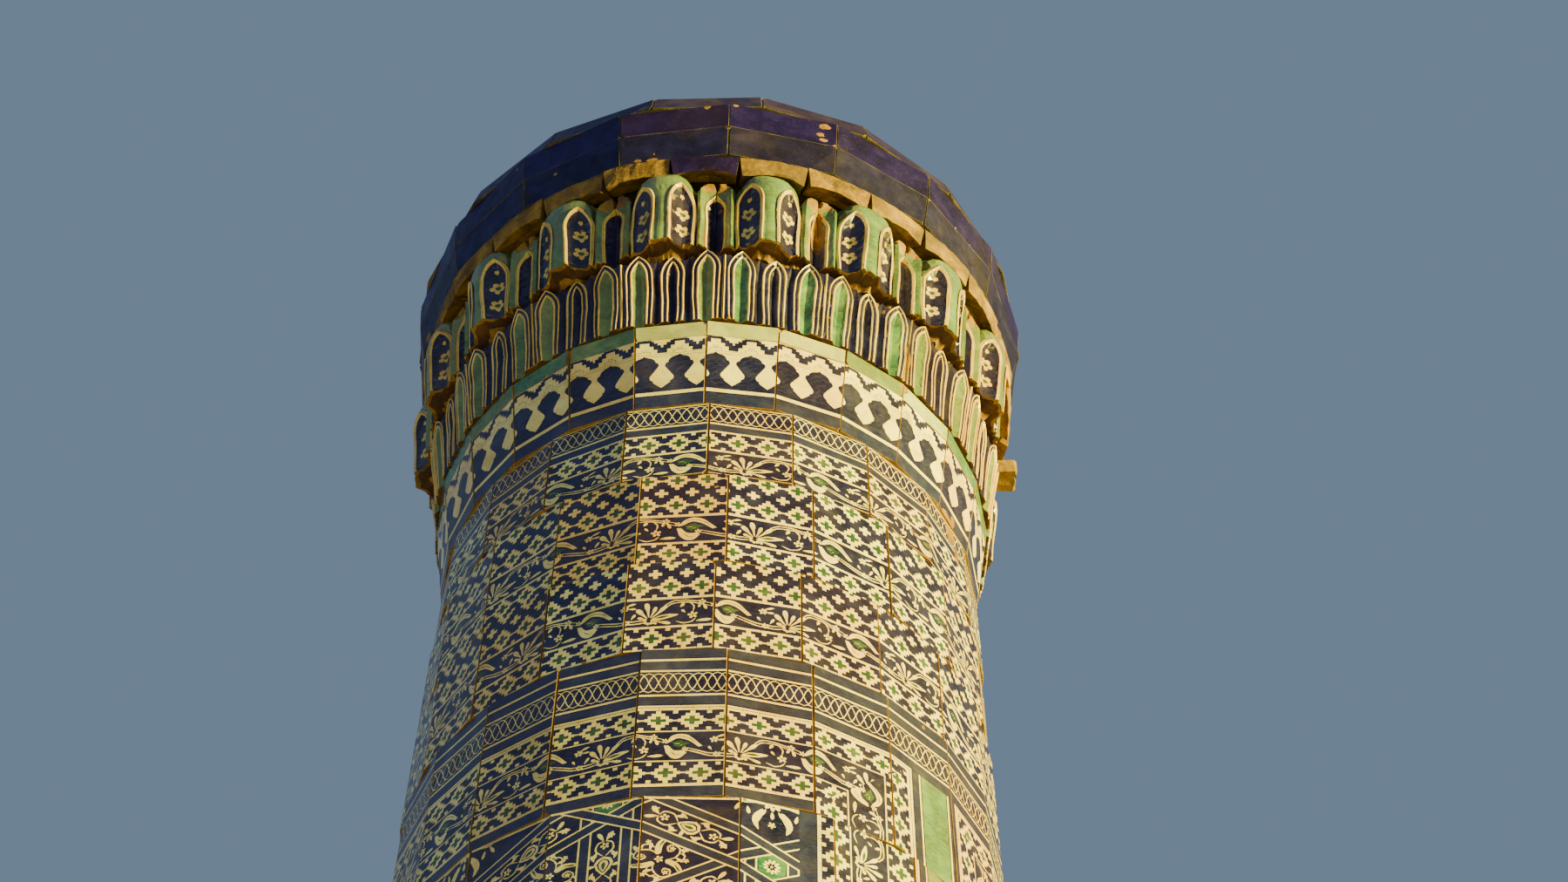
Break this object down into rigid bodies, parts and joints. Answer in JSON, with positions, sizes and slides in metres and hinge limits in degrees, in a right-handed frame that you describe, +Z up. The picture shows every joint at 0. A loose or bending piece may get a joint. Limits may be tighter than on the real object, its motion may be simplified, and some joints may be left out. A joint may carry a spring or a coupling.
{
  "type": "glazed tile minaret",
  "caption": "Round tapering tower of fired brick faced with painted glazed tiles, with a two-tier muqarnas cornice and a low domed cobalt crown.",
  "frame": {"origin": "centre of the plinth's foot, on the ground", "axes": "+Z up along the tower's axis, -Y towards the front"},
  "size_m": [2.2012, 2.206, 11.257],
  "materials": {
    "fired_brick": "matt sand-coloured fired brick",
    "cornice_clay": "rough broken ochre clay, partly glazed",
    "painted_tile": "white and dark blue painted tile with green touches under a clear glaze",
    "turquoise_glaze": "turquoise glaze",
    "muqarnas_glaze": "turquoise, cobalt and cream glazes on moulded blocks",
    "cobalt_tile": "deep violet-blue glaze with chips"
  },
  "bodies": {
    "root": {"base_tile_band": "painted_tile", "brick_plinth": "fired_brick", "cornice_core": "fired_brick", "crown_course_1": "cobalt_tile", "crown_course_2": "cobalt_tile", "crown_course_3": "cobalt_tile", "diaper_course_1": "painted_tile", "diaper_course_2": "painted_tile", "diaper_course_3": "painted_tile", "hood_course": "cornice_clay", "lobed_frieze": "painted_tile", "low_dome": "cobalt_tile", "lower_muqarnas_01": "muqarnas_glaze", "lower_muqarnas_02": "muqarnas_glaze", "lower_muqarnas_03": "muqarnas_glaze", "lower_muqarnas_04": "muqarnas_glaze", "lower_muqarnas_05": "muqarnas_glaze", "lower_muqarnas_06": "muqarnas_glaze", "lower_muqarnas_07": "muqarnas_glaze", "lower_muqarnas_08": "muqarnas_glaze", "lower_muqarnas_09": "muqarnas_glaze", "lower_tile_field": "painted_tile", "middle_tile_band": "painted_tile", "strapwork_panel_storey": "painted_tile", "turquoise_fillet": "turquoise_glaze", "upper_muqarnas_01": "muqarnas_glaze", "upper_muqarnas_02": "muqarnas_glaze", "upper_muqarnas_03": "muqarnas_glaze", "upper_muqarnas_04": "muqarnas_glaze", "upper_muqarnas_05": "muqarnas_glaze", "upper_muqarnas_06": "cornice_clay", "upper_muqarnas_07": "muqarnas_glaze", "upper_muqarnas_08": "muqarnas_glaze", "upper_muqarnas_09": "muqarnas_glaze", "upper_muqarnas_10": "muqarnas_glaze", "upper_muqarnas_11": "muqarnas_glaze", "upper_muqarnas_12": "muqarnas_glaze", "upper_muqarnas_13": "muqarnas_glaze", "upper_muqarnas_14": "muqarnas_glaze", "upper_muqarnas_15": "muqarnas_glaze", "upper_muqarnas_16": "muqarnas_glaze", "upper_muqarnas_17": "muqarnas_glaze", "upper_muqarnas_18": "muqarnas_glaze", "upper_tile_band": "painted_tile"}
  },
  "joints": []
}
